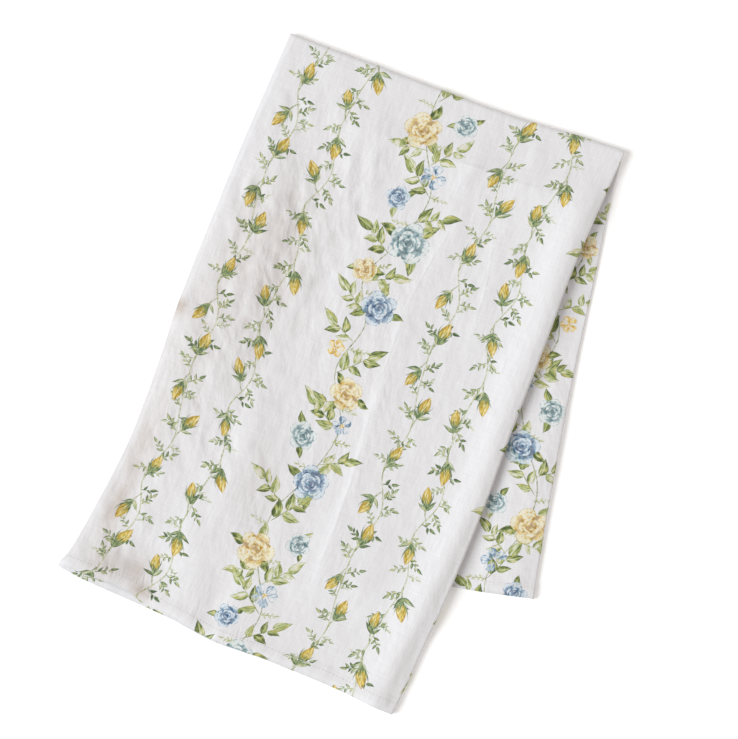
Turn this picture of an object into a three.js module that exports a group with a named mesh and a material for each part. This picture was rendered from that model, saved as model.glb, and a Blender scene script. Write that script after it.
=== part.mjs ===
// A printed linen tea towel. It is folded in half along its length, with the fold on the right, then folded
// under itself across the middle, and it lies flat. The half that is folded under is turned a little, so its
// lower right corner shows beside the front. One cloth, so one solid: four layers a little apart.
// Millimetres, +Z up, +Y from the front hem to the cross fold. While the cloth is laid out, X and Y are
// measured from the front hem's left corner. The finished mesh is centred on its own outline, on Z = 0.
import * as THREE from 'three';

const towel = { width: 500, length: 750, thickness: 1 };
const layerPitch = 2.1; // from the middle of one layer to the middle of the next
const panelWidth = towel.width / 2 - 2; // the lengthwise fold takes up the rest
const frontLength = 410; // front hem to cross fold, at the middle
const bendLength = 7; // cloth taken up by the cross fold, at the middle

// Heights of the layers' middles where all four lie on each other, from the floor up.
const backLower = towel.thickness / 2;
const backUpper = backLower + layerPitch;
const frontLower = backUpper + layerPitch;

// The front's sides: how far each edge strays from a straight panel, from the cross fold (0) to the hem (1).
const frontSides = [
  { down: 0.00, left: -1.0, right: -2.5 },
  { down: 0.20, left: -0.6, right: -2.6 },
  { down: 0.34, left: 0.9, right: 1.0 },
  { down: 0.50, left: 3.4, right: 4.4 },
  { down: 0.62, left: 8.0, right: 7.9 },
  { down: 0.76, left: 10.6, right: 9.6 },
  { down: 0.90, left: 7.2, right: 9.4 },
  { down: 0.97, left: 4.2, right: 8.9 },
  { down: 1.00, left: 0.4, right: 7.8 },
];

// The half that is folded under slants to the right as it goes down, a little more on its right side.
const underSlant = { left: THREE.MathUtils.degToRad(10.6), right: THREE.MathUtils.degToRad(12.1) };
const meanSlant = (underSlant.left + underSlant.right) / 2;
const backLength = (towel.length - frontLength - bendLength) * Math.cos(meanSlant); // cross fold to back hem
const backSides = [
  { down: 0.00, left: -1.0, right: -2.5 },
  { down: 0.12, left: -0.8, right: -4.6 },
  { down: 0.25, left: -0.5, right: -4.4 },
  { down: 0.55, left: 0.0, right: -4.8 },
  { down: 0.80, left: 0.0, right: -3.0 },
  { down: 1.00, left: 0.0, right: -0.6 },
];

// The three lines that cross the cloth, from its open side (0) to the lengthwise fold (1).
const crossFold = [
  { across: 0.00, y: -7.9 },
  { across: 0.38, y: -2.8 },
  { across: 0.66, y: 1.5 },
  { across: 0.84, y: 7.0 },
  { across: 1.00, y: 11.4 },
];
const frontHem = [
  { across: 0.00, y: 2.0 },
  { across: 0.08, y: 0.2 },
  { across: 0.34, y: -1.0 },
  { across: 0.47, y: -3.8 },
  { across: 0.62, y: -1.4 },
  { across: 0.80, y: -0.4 },
  { across: 1.00, y: -1.2 },
];
const backHem = [
  { across: 0.00, y: -11.5 },
  { across: 0.40, y: -2.5 },
  { across: 0.78, y: 13.7 },
  { across: 1.00, y: 28.8 },
];
const underPeek = 2.6; // how far the front's lower layer shows below its upper one at the open side

// The lengthwise fold is a soft roll, tight at the pressed corner beside the cross fold. Away from there its
// radius grows and the outer layer puffs up into a crest, a little inside the roll.
const pressedRadius = layerPitch / 2;
const frontRoll = { radius: 2.4, puff: 3.2, starts: 12, full: 74 };
const backRoll = { radius: 1.9, puff: 0.8, starts: 120, full: 230 };
const crest = { inside: 17, reach: 12 }; // the puff's place, from the roll, and its half width
const rollShoulder = 34; // width over which the upper layer climbs to the roll

// Where the front leaves the half below it, it comes down to the floor over a soft slope.
const slope = { clear: 10, length: 46 };

// Main folds of the front's upper layer. rise is at the crest, reach its half width, and both means that the
// layer below is lifted too.
const folds = [
  { x0: 20, y0: 350, x1: 62, y1: 150, rise: 2.0, reach: 14, both: 0.5 }, // over the hidden open edges
  { x0: 62, y0: 356, x1: 226, y1: 378, rise: 2.4, reach: 18, both: 0.9 }, // behind the cross fold
  { x0: 124, y0: 58, x1: 112, y1: -14, rise: 3.8, reach: 11, both: 0.4 }, // wave in the hem
  { x0: 2, y0: 12, x1: 0, y1: -8, rise: 3.6, reach: 14, both: 0.3 }, // lifted corner
  { x0: 228, y0: 60, x1: 222, y1: -12, rise: 1.4, reach: 16, both: 0.2 }, // hem near the roll
];
const foldTaper = 26; // length over which a fold fades out at its ends

const sections = { across: 15, roll: 8, front: 25, bend: 8, back: 20 };
const crowding = 1.25; // above 1 the sections across lie closer together near the roll

const { lerp, clamp, smootherstep } = THREE.MathUtils;

/** A smooth curve through a column of a table, as a function of the place that its rows give. */
function curveThrough(rows, place, column) {
  const curve = new THREE.CubicInterpolant(rows.map((row) => row[place]), rows.map((row) => row[column]), 1);
  return (at) => curve.evaluate(at)[0];
}

const crossFoldCurve = curveThrough(crossFold, 'across', 'y');
const frontHemY = curveThrough(frontHem, 'across', 'y');
const backHemCurve = curveThrough(backHem, 'across', 'y');
const frontLeft = curveThrough(frontSides, 'down', 'left');
const frontRight = curveThrough(frontSides, 'down', 'right');
const backLeft = curveThrough(backSides, 'down', 'left');
const backRight = curveThrough(backSides, 'down', 'right');

const crossFoldY = (across) => frontLength + crossFoldCurve(across);
const backHemY = (across) => frontLength - backLength + backHemCurve(across);

/** Left and right edges of the front, a share of the way down from the cross fold. */
function frontEdges(down) {
  return { left: frontLeft(down), right: panelWidth + frontRight(down) };
}

/** The same for the half folded under, which slants. */
function backEdges(down) {
  const leftDrop = down * (crossFoldY(0) - backHemY(0));
  const rightDrop = down * (crossFoldY(1) - backHemY(1));
  return {
    left: backLeft(down) + leftDrop * Math.tan(underSlant.left),
    right: panelWidth + backRight(down) + rightDrop * Math.tan(underSlant.right),
  };
}

/** 1 where the half folded under lies below the front, falling to 0 past its open side and its hem. */
function propped(x, y) {
  const hem = backEdges(1);
  const foot = new THREE.Vector2(hem.left, backHemY(0));
  const head = new THREE.Vector2(backEdges(0).left, crossFoldY(0));
  const side = head.clone().sub(foot).normalize();
  const pastSide = side.x * (y - foot.y) - side.y * (x - foot.x);
  const pastHem = backHemY(clamp((x - hem.left) / (hem.right - hem.left), 0, 1)) - y;
  const fall = (past) => 1 - smootherstep(past, slope.clear, slope.clear + slope.length);
  return fall(pastSide) * fall(pastHem);
}

/** How far the main folds lift the front at a point, on its upper or its lower layer. */
function foldLift(x, y, lower) {
  let lift = 0;
  for (const fold of folds) {
    const along = new THREE.Vector2(fold.x1 - fold.x0, fold.y1 - fold.y0);
    const length = along.length();
    along.normalize();
    const run = (x - fold.x0) * along.x + (y - fold.y0) * along.y;
    const off = (x - fold.x0) * along.y - (y - fold.y0) * along.x;
    const begun = smootherstep(run, -foldTaper, foldTaper);
    const ended = smootherstep(run, length - foldTaper, length + foldTaper);
    const rise = fold.rise * begun * (1 - ended) * Math.exp(-((off / fold.reach) ** 2));
    lift += lower ? fold.both * rise : rise;
  }
  return lift;
}

/**
 * Where a point lies in the folded section, at a distance from the cross fold. across runs from 0 at the open
 * side to 1 where the roll begins, and turn is the angle round the roll, from 0 on the printed outer layer to
 * PI on the other one. gap is how far the outer layer lies from the other one there.
 */
function sectionPlace(edges, roll, distance, across, turn) {
  const grown = smootherstep(distance, roll.starts, roll.full);
  const radius = lerp(pressedRadius, roll.radius, grown);
  const onRoll = turn > 0 && turn < Math.PI;
  const start = edges.right - radius;
  const x = onRoll ? start + radius * Math.sin(turn) : lerp(edges.left, start, across);
  const inside = Math.max(start - x, 0);
  const climb = 1 - smootherstep(inside, 0, rollShoulder);
  const puff = grown * roll.puff * Math.exp(-(((inside - crest.inside) / crest.reach) ** 2));
  return { x, gap: lerp(layerPitch, 2 * radius, climb) + puff, outerShare: (1 + Math.cos(turn)) / 2 };
}

/** A point on the middle of the front half of the cloth. */
function frontPoint(across, turn, down) {
  const at = sectionPlace(frontEdges(down), frontRoll, down * frontLength, across, turn);
  const peek = (1 - at.outerShare) * underPeek * (1 - across);
  const y = lerp(crossFoldY(across), frontHemY(across) - peek, down);
  const lowerLift = foldLift(at.x, y, true);
  const upperLift = foldLift(at.x, y, false);
  const rest = lerp(backLower, frontLower, propped(at.x, y));
  return new THREE.Vector3(at.x, y, rest + lerp(lowerLift, upperLift + at.gap, at.outerShare));
}

/** A point on the middle of the half folded under, where the outer layer is the lower one. */
function backPoint(across, turn, down) {
  const at = sectionPlace(backEdges(down), backRoll, down * backLength, across, turn);
  const y = lerp(crossFoldY(across), backHemY(across), down);
  return new THREE.Vector3(at.x, y, backLower + at.gap * (1 - at.outerShare));
}

/** A point on the cross fold, which turns the section over from front to back. */
function bendPoint(across, turn, bend) {
  const top = frontPoint(across, turn, 0);
  const bottom = backPoint(across, turn, 0);
  const radius = (top.z - bottom.z) / 2;
  const [before, after] = [Math.max(across - 0.01, 0), Math.min(across + 0.01, 1)];
  const foldRise = crossFoldY(after) - crossFoldY(before);
  const foldRun = (after - before) * panelWidth;
  const outward = new THREE.Vector2(-foldRise, foldRun).normalize().multiplyScalar(radius * Math.sin(bend));
  return new THREE.Vector3(top.x + outward.x, top.y + outward.y, bottom.z + radius * (1 + Math.cos(bend)));
}

/** Places across the section: open side, roll, open side again, closer together near the roll. */
function sectionPlaces() {
  const places = [];
  const crowd = (t) => 1 - (1 - t) ** crowding;
  for (let i = 0; i <= sections.across; i++) places.push({ across: crowd(i / sections.across), turn: 0 });
  for (let i = 1; i < sections.roll; i++) places.push({ across: 1, turn: (Math.PI * i) / sections.roll });
  for (let i = sections.across; i >= 0; i--) places.push({ across: crowd(i / sections.across), turn: Math.PI });
  return places;
}

/** The middle of the cloth as rows of points, from the front hem over the cross fold to the back hem. */
function clothRows() {
  const rows = [];
  const places = sectionPlaces();
  for (let i = sections.front; i >= 0; i--) {
    rows.push(places.map((p) => frontPoint(p.across, p.turn, i / sections.front)));
  }
  for (let i = 1; i < sections.bend; i++) {
    rows.push(places.map((p) => bendPoint(p.across, p.turn, (Math.PI * i) / sections.bend)));
  }
  for (let i = 0; i <= sections.back; i++) {
    rows.push(places.map((p) => backPoint(p.across, p.turn, i / sections.back)));
  }
  return rows;
}

/** Gives the rows of points their thickness, as one closed mesh. */
function thicken(rows, thickness) {
  const high = rows.length;
  const wide = rows[0].length;
  const positions = [];
  for (const side of [0.5, -0.5]) {
    for (let r = 0; r < high; r++) {
      for (let c = 0; c < wide; c++) {
        const acrossCloth = rows[r][Math.min(c + 1, wide - 1)].clone().sub(rows[r][Math.max(c - 1, 0)]);
        const alongCloth = rows[Math.min(r + 1, high - 1)][c].clone().sub(rows[Math.max(r - 1, 0)][c]);
        const normal = acrossCloth.cross(alongCloth).normalize();
        positions.push(...rows[r][c].clone().addScaledVector(normal, side * thickness).toArray());
      }
    }
  }
  const index = [];
  const quad = (a, b, c, d) => index.push(a, b, c, a, c, d);
  const outer = (r, c) => r * wide + c;
  const inner = (r, c) => high * wide + r * wide + c;
  for (let r = 0; r < high - 1; r++) {
    for (let c = 0; c < wide - 1; c++) {
      quad(outer(r, c), outer(r, c + 1), outer(r + 1, c + 1), outer(r + 1, c));
      quad(inner(r, c), inner(r + 1, c), inner(r + 1, c + 1), inner(r, c + 1));
    }
  }
  for (let c = 0; c < wide - 1; c++) {
    quad(inner(0, c), inner(0, c + 1), outer(0, c + 1), outer(0, c));
    quad(outer(high - 1, c), outer(high - 1, c + 1), inner(high - 1, c + 1), inner(high - 1, c));
  }
  for (let r = 0; r < high - 1; r++) {
    quad(outer(r, 0), outer(r + 1, 0), inner(r + 1, 0), inner(r, 0));
    quad(inner(r, wide - 1), inner(r + 1, wide - 1), outer(r + 1, wide - 1), outer(r, wide - 1));
  }
  const geometry = new THREE.BufferGeometry();
  geometry.setAttribute('position', new THREE.Float32BufferAttribute(positions, 3));
  geometry.setIndex(index);
  return geometry;
}

function makeCloth() {
  const geometry = thicken(clothRows(), towel.thickness);
  geometry.computeBoundingBox();
  const middle = geometry.boundingBox.getCenter(new THREE.Vector3());
  geometry.translate(-middle.x, -middle.y, -geometry.boundingBox.min.z);
  geometry.computeVertexNormals();
  const linen = new THREE.MeshStandardMaterial({ color: 0xe6e3e2, roughness: 0.9, metalness: 0 });
  const mesh = new THREE.Mesh(geometry, linen);
  mesh.name = 'towel_cloth';
  return mesh;
}

const teaTowel = new THREE.Group();
teaTowel.add(makeCloth());

export default teaTowel;
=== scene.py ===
# Printed linen tea towel, folded in half along its length and then under itself, lying flat.
# The cloth is cut flat as one grid, folded point by point, thickened, printed and sewn at its hems.
import math
import random

import bpy
import numpy as np
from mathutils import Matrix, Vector


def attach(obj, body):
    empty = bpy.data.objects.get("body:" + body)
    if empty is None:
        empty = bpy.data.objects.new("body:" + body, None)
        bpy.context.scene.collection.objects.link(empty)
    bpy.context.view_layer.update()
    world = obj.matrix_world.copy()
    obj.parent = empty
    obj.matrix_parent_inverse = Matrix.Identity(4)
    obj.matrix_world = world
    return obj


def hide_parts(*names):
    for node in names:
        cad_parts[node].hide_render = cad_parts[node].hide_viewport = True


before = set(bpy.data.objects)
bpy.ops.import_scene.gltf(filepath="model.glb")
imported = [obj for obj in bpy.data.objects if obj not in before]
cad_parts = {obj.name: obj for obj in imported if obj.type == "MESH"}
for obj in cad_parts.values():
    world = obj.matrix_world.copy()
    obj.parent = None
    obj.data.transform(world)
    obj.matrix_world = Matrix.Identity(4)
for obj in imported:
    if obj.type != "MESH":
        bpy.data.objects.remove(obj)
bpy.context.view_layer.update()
mm = 0.001  # the tables below are in millimetres

# The cloth, as it is cut flat and as it lies folded.

towel = {
    "width": 500,
    "length": 750,
    "thickness": 0.6,
    "hemThickness": 1.15,  # three layers where an end is turned twice
    "sideThickness": 0.7,  # the sides are turned flat
    "hemWidth": 11,
    "hemStep": (0.75, 1.05),  # where the hem's inner edge steps down, in hem widths
    "columns": 100,  # grid columns on each half, beside the lengthwise fold
    "rollColumns": 14,
    "frontRows": 122,
    "bendRows": 12,
    "backRows": 82,
}

# How it is folded. X and Y are laid out from the front hem's left corner, +Y towards the cross fold.
folded = {
    "layoutMiddle": (156.48, 209.92),  # the middle of the outline's box, which is the origin
    "layerPitch": 2.05,  # from the middle of one layer to the middle of the next
    "panelWidth": 248,
    "rollWidth": 11,  # cloth in the roll of the lengthwise fold
    "frontLength": 410,  # front hem to cross fold
    "bendLength": 7,  # cloth taken up by the cross fold
    "underSlant": (math.radians(10.6), math.radians(12.1)),  # of the back's left and right side
    "pressedRadius": 1.02,
    "frontRoll": {"radius": 2.0, "puff": 4.2, "starts": 6, "full": 60, "crest": (5, 12)},
    "backRoll": {"radius": 1.4, "puff": 0.6, "starts": 120, "full": 230, "crest": (12, 12)},
    "crestReach": (14, 8),  # towards the middle of the towel and towards the roll
    "crestMoves": (190, 400),  # distance from the cross fold, between the crest's first place and its second
    "rollShoulder": 34,
    "slopeClear": 10,  # the front comes down to the floor this far outside the back
    "slopeLength": 46,
    "leastPitch": 1.5,  # between layers that a crease brings together, in thicknesses
    "coverEdge": (244, 262),  # across the layout, where the back comes out from under the front
}

# Edges as (share, millimetres). Sides run from the cross fold (0) to the hem (1), the other three
# lines run from the open side (0) to the lengthwise fold (1).
edges = {
    "frontLeft": [(0, -1), (0.2, -0.6), (0.34, 0.9), (0.5, 3.4), (0.62, 8), (0.76, 10.6),
                  (0.9, 7.2), (0.97, 4.2), (1, 0.4)],
    "frontRight": [(0, -2.5), (0.2, -2.6), (0.34, 1), (0.5, 4.4), (0.62, 7.9), (0.76, 9.6),
                   (0.9, 9.4), (0.97, 8.9), (1, 7.8)],
    "backLeft": [(0, -1), (0.12, -0.8), (0.25, -0.5), (0.55, 0), (1, 0)],
    "backRight": [(0, -2.5), (0.12, -4.6), (0.25, -4.4), (0.55, -4.8), (0.8, -3), (1, -0.6)],
    "crossFold": [(0, -7.9), (0.38, -2.8), (0.66, 1.5), (0.84, 7), (1, 11.4)],
    "frontHem": [(0, -0.8), (0.08, -2.4), (0.34, -2.8), (0.47, -5.3), (0.62, -2.5), (0.8, -1), (1, -1.2)],
    "backHem": [(0, -11.5), (0.4, -2.5), (0.78, 13.7), (1, 28.8)],
    # how far the front's lower layer shows below its upper one
    "hemPeek": [(0, 1.8), (0.06, 3.8), (0.14, 5.4), (0.22, 4.8), (0.28, 1.6), (0.5, 1), (1, 0)],
}

# Folds and creases, drawn upwards from (x0, y0) to (x1, y1) or to the right. Rise is at the crest and
# below 0 in a trough, reach is the half width to the left and the right, bow bends the line to the right,
# taper is how softly it ends, both is the share that the layer below takes part in, and power is 2 for a
# soft crest and 1 for a sharp one.
creaseDefaults = {"bow": 0, "taper": 26, "both": 0.5, "power": 2}
frontCreases = [
    {"line": (60, 156, 26, 334), "rise": 2.2, "reach": (24, 12), "bow": 4},  # over the hidden open edges
    {"line": (82, 148, 72, 262), "rise": 0.9, "reach": (7, 9), "both": 0.7},
    {"line": (56, 362, 232, 377), "rise": 4.2, "reach": (21, 30), "both": 0.9, "power": 1.0},  # by the fold
    {"line": (96, -14, 93, 50), "rise": 1.9, "reach": (15, 11), "both": 0.4},  # wave in the hem
    {"line": (126, -14, 123, 46), "rise": 2.1, "reach": (8, 34), "both": 0.4},  # and its next crest
    {"line": (4, -12, 9, 24), "rise": 4.0, "reach": (12, 26), "both": 0.3},  # lifted corner
    {"line": (34, -14, 26, 52), "rise": 1.6, "reach": (16, 22), "both": 0.3},  # beside the hollow
    {"line": (64, -12, 54, 70), "rise": -1.2, "reach": (12, 9), "both": 0.1},  # the hollow
    {"line": (84, 20, 74, 84), "rise": 0.9, "reach": (12, 12), "both": 0.5},
    {"line": (80, 94, 84, 166), "rise": 1.0, "reach": (9, 12), "both": 0.6},
    {"line": (228, -12, 232, 60), "rise": 1.0, "reach": (14, 12), "both": 0.3},  # hem near the roll
    {"line": (92, 66, 88, 150), "rise": 1.5, "reach": (9, 26), "both": 0.5, "taper": 22},
    {"line": (169, 62, 156, 208), "rise": 1.6, "reach": (3, 17), "bow": 1.5, "taper": 16, "power": 1.3},
    {"line": (156, 196, 151, 256), "rise": 0.8, "reach": (3, 10), "taper": 14},
    {"line": (150, 246, 159, 330), "rise": 0.8, "reach": (3.5, 9), "bow": -2, "taper": 18},
    {"line": (154, 44, 146, 190), "rise": -0.7, "reach": (13, 8), "both": 0.6},
    {"line": (201, 256, 186, 338), "rise": 0.75, "reach": (3.5, 9), "bow": 2, "taper": 16},
    {"line": (97, 320, 78, 374), "rise": 1.3, "reach": (6, 10), "taper": 12},
    {"line": (84, 306, 71, 352), "rise": 0.8, "reach": (5, 7), "taper": 12},
    {"line": (112, 236, 98, 322), "rise": 0.6, "reach": (5, 9), "taper": 16},
    {"line": (190, 380, 189, 404), "rise": 0.8, "reach": (4, 7), "taper": 9},
    {"line": (34, 352, 38, 404), "rise": 0.7, "reach": (9, 8), "taper": 12},
    {"line": (126, 60, 112, 130), "rise": -0.8, "reach": (7, 9), "both": 0.6},
    {"line": (206, 60, 196, 190), "rise": 0.5, "reach": (8, 10), "both": 0.7},
    {"line": (-8, 202, 24, 198), "rise": 0.9, "reach": (8, 6), "both": 0.3, "taper": 8},  # kink in the side
    {"line": (70, 316, 118, 334), "rise": 0.5, "reach": (6, 6), "taper": 10},
    {"line": (20, 120, 14, 176), "rise": 0.7, "reach": (8, 9), "taper": 14},
    {"line": (25, 82, 14, 106), "rise": -0.9, "reach": (3.4, 4), "taper": 8},  # pulled towards the corner
    {"line": (31, 50, 27, 72), "rise": -0.8, "reach": (3, 4), "taper": 7},
    {"line": (38, 26, 25, 39), "rise": -0.9, "reach": (3.4, 4), "taper": 6},
    {"line": (52, 301, 43, 311), "rise": -0.9, "reach": (2.6, 3.4), "taper": 4},
    {"line": (48, 280, 42, 288), "rise": -0.9, "reach": (2.6, 3.4), "taper": 4},
    {"line": (53, 256, 44, 261), "rise": -0.9, "reach": (2.8, 3.6), "taper": 4},
]
backCreases = [
    {"line": (284, 96, 257, 236), "rise": 2.3, "reach": (9, 20), "bow": -2, "both": 0.5},
    {"line": (300, 74, 296, 128), "rise": 0.8, "reach": (5, 7), "taper": 12},
    {"line": (274, 58, 282, 100), "rise": 0.7, "reach": (6, 7), "taper": 10},
    {"line": (268, 246, 254, 300), "rise": 0.9, "reach": (5, 8), "taper": 12},
]
wrinkles = [  # small creases strewn about by the seed, broad and fine ones
    {"seed": 3, "count": 34, "length": (50, 130), "rise": (-0.6, 0.8), "reach": (6, 12), "lean": 0.16},
    {"seed": 4, "count": 125, "length": (14, 60), "rise": (-0.38, 0.46), "reach": (2.6, 5.4), "lean": 0.28},
]
crumples = [  # and still finer ones where the cloth is crumpled
    {"seed": 8, "count": 165, "length": (8, 28), "rise": (-1.0, 0.8), "reach": (2.2, 3.8), "lean": 0.4},
]
strewnForm = {"uneven": (0.8, 1.6), "bow": (-0.05, 0.05), "taper": 0.35, "both": 0.8}  # shared by them all
puckers = {  # the hems draw the cloth in
    "rise": 0.26,
    "waves": (11.3, 7.7),
    "uneven": 0.6,
    "calm": {"every": 61, "least": 0.35},  # they come and go along the hem
    "reach": 13,
}
crinkled = {  # how crinkled the cloth is all over, and its most crinkled spots
    "share": 0.36,
    "spots": [  # place in the layout, reach each way, share
        (54, 272, 32, 78, 0.6), (36, 150, 26, 64, 0.6), (110, 300, 40, 66, 0.3), (140, 180, 46, 90, 0.2),
        (20, 60, 16, 40, 0.4), (40, 24, 26, 20, 0.4), (108, 60, 24, 56, 0.25), (285, 210, 22, 76, 0.3),
    ],
}
paintedShadeSpots = [  # painted warm shade on the front, where the cloth is darker and warmer, with two small brown spots (the first two): place in the layout, reach each way, share
    (5.5, 199, 4.6, 5.6, 0.8), (61.5, 6, 6.5, 6, 0.8), (30, 15, 13, 12, 0.38), (51, 20, 9, 9, 0.36),
    (21, 50, 7.5, 18, 0.4), (22, 98, 9, 38, 0.33), (24, 190, 22, 60, 0.16), (32, 270, 20, 50, 0.18),
    (60, 240, 20, 80, 0.16), (104, 110, 14, 40, 0.12),
]
hollowShade = {  # painted shade in every hollow of the cloth
    "reach": 2,  # grid steps
    "each": 0.45,  # share for each millimetre of depth
    "most": 0.1,
}
pressedLines = [  # fine creases, too narrow for the grid, which the material raises: points in the layout
    {"points": [(153, 208), (160, 172), (164.5, 137), (168, 96), (169, 66)], "width": 4.6, "rise": 0.24},
    {"points": [(156, 196), (154, 226), (151, 256)], "width": 3, "rise": 0.16},
    {"points": [(159, 330), (153, 290), (150, 246)], "width": 3, "rise": 0.16},
    {"points": [(201, 256), (196, 300), (186, 338)], "width": 3, "rise": 0.15},
    {"points": [(97, 320), (91, 346), (80, 374)], "width": 5, "rise": 0.12},
    {"points": [(60, 362), (110, 367), (170, 372), (228, 377)], "width": 5, "rise": 0.26},
    {"points": [(28, 2), (26, 14)], "width": 2.6, "rise": -0.26},
    {"points": [(33, 1), (32, 16)], "width": 2.4, "rise": -0.2},
    {"points": [(39, 0), (37, 13)], "width": 2.6, "rise": -0.24},
    {"points": [(62, 2), (58, 18)], "width": 2.8, "rise": -0.22},
    {"points": [(69, -1), (66, 11)], "width": 2.4, "rise": -0.2},
    {"points": [(104, 1), (102, 20)], "width": 2.8, "rise": -0.2},
    {"points": [(137, -2), (135, 14)], "width": 2.6, "rise": -0.18},
]


def strewCreases(families, area, slant):  # area in the folded layout, slant of the cloth's length there
    strewn = []
    for family in families:
        dice = random.Random(family["seed"])
        for _ in range(family["count"]):
            x, y = dice.uniform(area[0], area[2]), dice.uniform(area[1], area[3])
            length, lean = dice.uniform(*family["length"]), slant + dice.gauss(0, family["lean"])
            along, aside = length * math.cos(lean) / 2, length * math.sin(lean) / 2
            reach = dice.uniform(*family["reach"])
            strewn.append({
                "line": (x - aside, y - along, x + aside, y + along),
                "rise": dice.uniform(*family["rise"]),
                "reach": (reach, reach * dice.uniform(*strewnForm["uneven"])),
                "bow": dice.uniform(*strewnForm["bow"]) * length,
                "taper": length * strewnForm["taper"],
                "both": strewnForm["both"],
            })
    return strewn


frontCreases += strewCreases(wrinkles, (0, -5, 246, 405), -0.03)
frontCreases += strewCreases(crumples, (12, 96, 98, 372), -0.42)
backCreases += strewCreases(wrinkles, (0, 60, 320, 405), -0.2)


def smoothCurve(points, at):  # cubic through the points, flat beyond them
    place, value = np.array(points, float).T
    gap = np.diff(place)
    slope = np.empty_like(place)
    slope[1:-1] = (value[2:] - value[:-2]) / (place[2:] - place[:-2])
    slope[0], slope[-1] = np.diff(value)[0] / gap[0], np.diff(value)[-1] / gap[-1]
    k = np.clip(np.searchsorted(place, at, side="right") - 1, 0, len(gap) - 1)
    t = np.clip((at - place[k]) / gap[k], 0, 1)
    return (
        value[k] * (2 * t**3 - 3 * t**2 + 1)
        + gap[k] * slope[k] * (t**3 - 2 * t**2 + t)
        + value[k + 1] * (3 * t**2 - 2 * t**3)
        + gap[k] * slope[k + 1] * (t**3 - t**2)
    )


def smoothStep(at, low, high):
    t = np.clip((at - low) / (high - low), 0, 1)
    return t**3 * (t * (6 * t - 15) + 10)


def blend(a, b, share):
    return a + (b - a) * share


def crossFoldY(across):
    return folded["frontLength"] + smoothCurve(edges["crossFold"], across)


def backClothLength():
    return towel["length"] - folded["frontLength"] - folded["bendLength"]


def backHemY(across):
    drop = backClothLength() * math.cos(sum(folded["underSlant"]) / 2)
    return folded["frontLength"] - drop + smoothCurve(edges["backHem"], across)


def frontSides(down):
    left = smoothCurve(edges["frontLeft"], down)
    return left, folded["panelWidth"] + smoothCurve(edges["frontRight"], down)


def backSides(down):  # the half folded under slants to the right as it goes down
    leftDrop = down * (crossFoldY(0) - backHemY(0))
    rightDrop = down * (crossFoldY(1) - backHemY(1))
    left = smoothCurve(edges["backLeft"], down) + leftDrop * math.tan(folded["underSlant"][0])
    right = smoothCurve(edges["backRight"], down) + rightDrop * math.tan(folded["underSlant"][1])
    return left, folded["panelWidth"] + right


def propped(x, y):  # 1 where the back lies under the front, 0 past its open side and its hem
    hemLeft, hemRight = backSides(1)
    headLeft, _ = backSides(0)
    foot = np.array([hemLeft, backHemY(0)], float)
    side = np.array([headLeft, crossFoldY(0)], float) - foot
    side /= np.hypot(*side)
    pastSide = side[0] * (y - foot[1]) - side[1] * (x - foot[0])
    pastHem = backHemY(np.clip((x - hemLeft) / (hemRight - hemLeft), 0, 1)) - y
    start, end = folded["slopeClear"], folded["slopeClear"] + folded["slopeLength"]
    return (1 - smoothStep(pastSide, start, end)) * (1 - smoothStep(pastHem, start, end))


def creaseLift(creases, x, y, lower):
    lift = 0
    for given in creases:
        crease = {**creaseDefaults, **given}
        x0, y0, x1, y1 = crease["line"]
        length = math.hypot(x1 - x0, y1 - y0)
        alongX, alongY = (x1 - x0) / length, (y1 - y0) / length
        run = (x - x0) * alongX + (y - y0) * alongY
        share = np.clip(run / length, 0, 1)
        off = (x - x0) * alongY - (y - y0) * alongX - crease["bow"] * 4 * share * (1 - share)
        taper = min(crease["taper"], length / 2)
        ends = smoothStep(run, -taper, taper) * (1 - smoothStep(run, length - taper, length + taper))
        reach = np.where(off < 0, *crease["reach"])
        bump = crease["rise"] * ends * np.exp(-(np.abs(off / reach) ** crease["power"]))
        lift = lift + bump * (crease["both"] if lower else 1)
    return lift


def puckerLift(across, fromHem):
    place = across * folded["panelWidth"]
    ripple = sum(np.sin(2 * math.pi * place / wave + puckers["uneven"] * np.sin(place / wave))
                 for wave in puckers["waves"])
    every, least = puckers["calm"]["every"], puckers["calm"]["least"]
    calm = least + (1 - least) * np.sin(math.pi * place / every) ** 2
    return puckers["rise"] * calm * ripple / 2 * np.exp(-((fromHem / puckers["reach"]) ** 2))


def hemShare(p, q):  # 1 on the hems at the ends, less on the sides, 0 inside them
    start, end = (towel["hemWidth"] * share for share in towel["hemStep"])
    onEnds = 1 - smoothStep(np.minimum(q, towel["length"] - q), start, end)
    onSides = 1 - smoothStep(np.minimum(p, towel["width"] - p), start, end)
    sideShare = (towel["sideThickness"] - towel["thickness"]) / (towel["hemThickness"] - towel["thickness"])
    return np.maximum(onEnds, onSides * sideShare)


def notBelow(height, floor, soft=0.25):  # bends smoothly into the floor
    return floor + soft * np.logaddexp(0, (height - floor) / soft)


def sectionPlace(sides, roll, distance, across, turn):  # place across, layers' pitch, 1 on the outer layer
    left, right = sides
    grown = smoothStep(distance, roll["starts"], roll["full"])
    radius = blend(folded["pressedRadius"], roll["radius"], grown)
    start = right - radius
    onRoll = (turn > 0) & (turn < math.pi)
    x = np.where(onRoll, start + radius * np.sin(turn), blend(left, start, across))
    inside = np.maximum(start - x, 0)
    climb = 1 - smoothStep(inside, 0, folded["rollShoulder"])
    fromCrest = inside - blend(*roll["crest"], smoothStep(distance, *folded["crestMoves"]))
    reach = np.where(fromCrest > 0, *folded["crestReach"])
    puff = grown * roll["puff"] * np.exp(-((fromCrest / reach) ** 2))
    gap = blend(folded["layerPitch"], 2 * radius, climb) + puff
    return x, gap, (1 + np.cos(turn)) / 2


def layerHeights(creases, x, y, ripple, gap):  # of the lower and the upper layer of one half
    lower = notBelow(creaseLift(creases, x, y, True) + ripple, 0)
    least = lower + towel["thickness"] * folded["leastPitch"]
    return lower, notBelow(creaseLift(creases, x, y, False) + ripple + gap, least)


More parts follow.
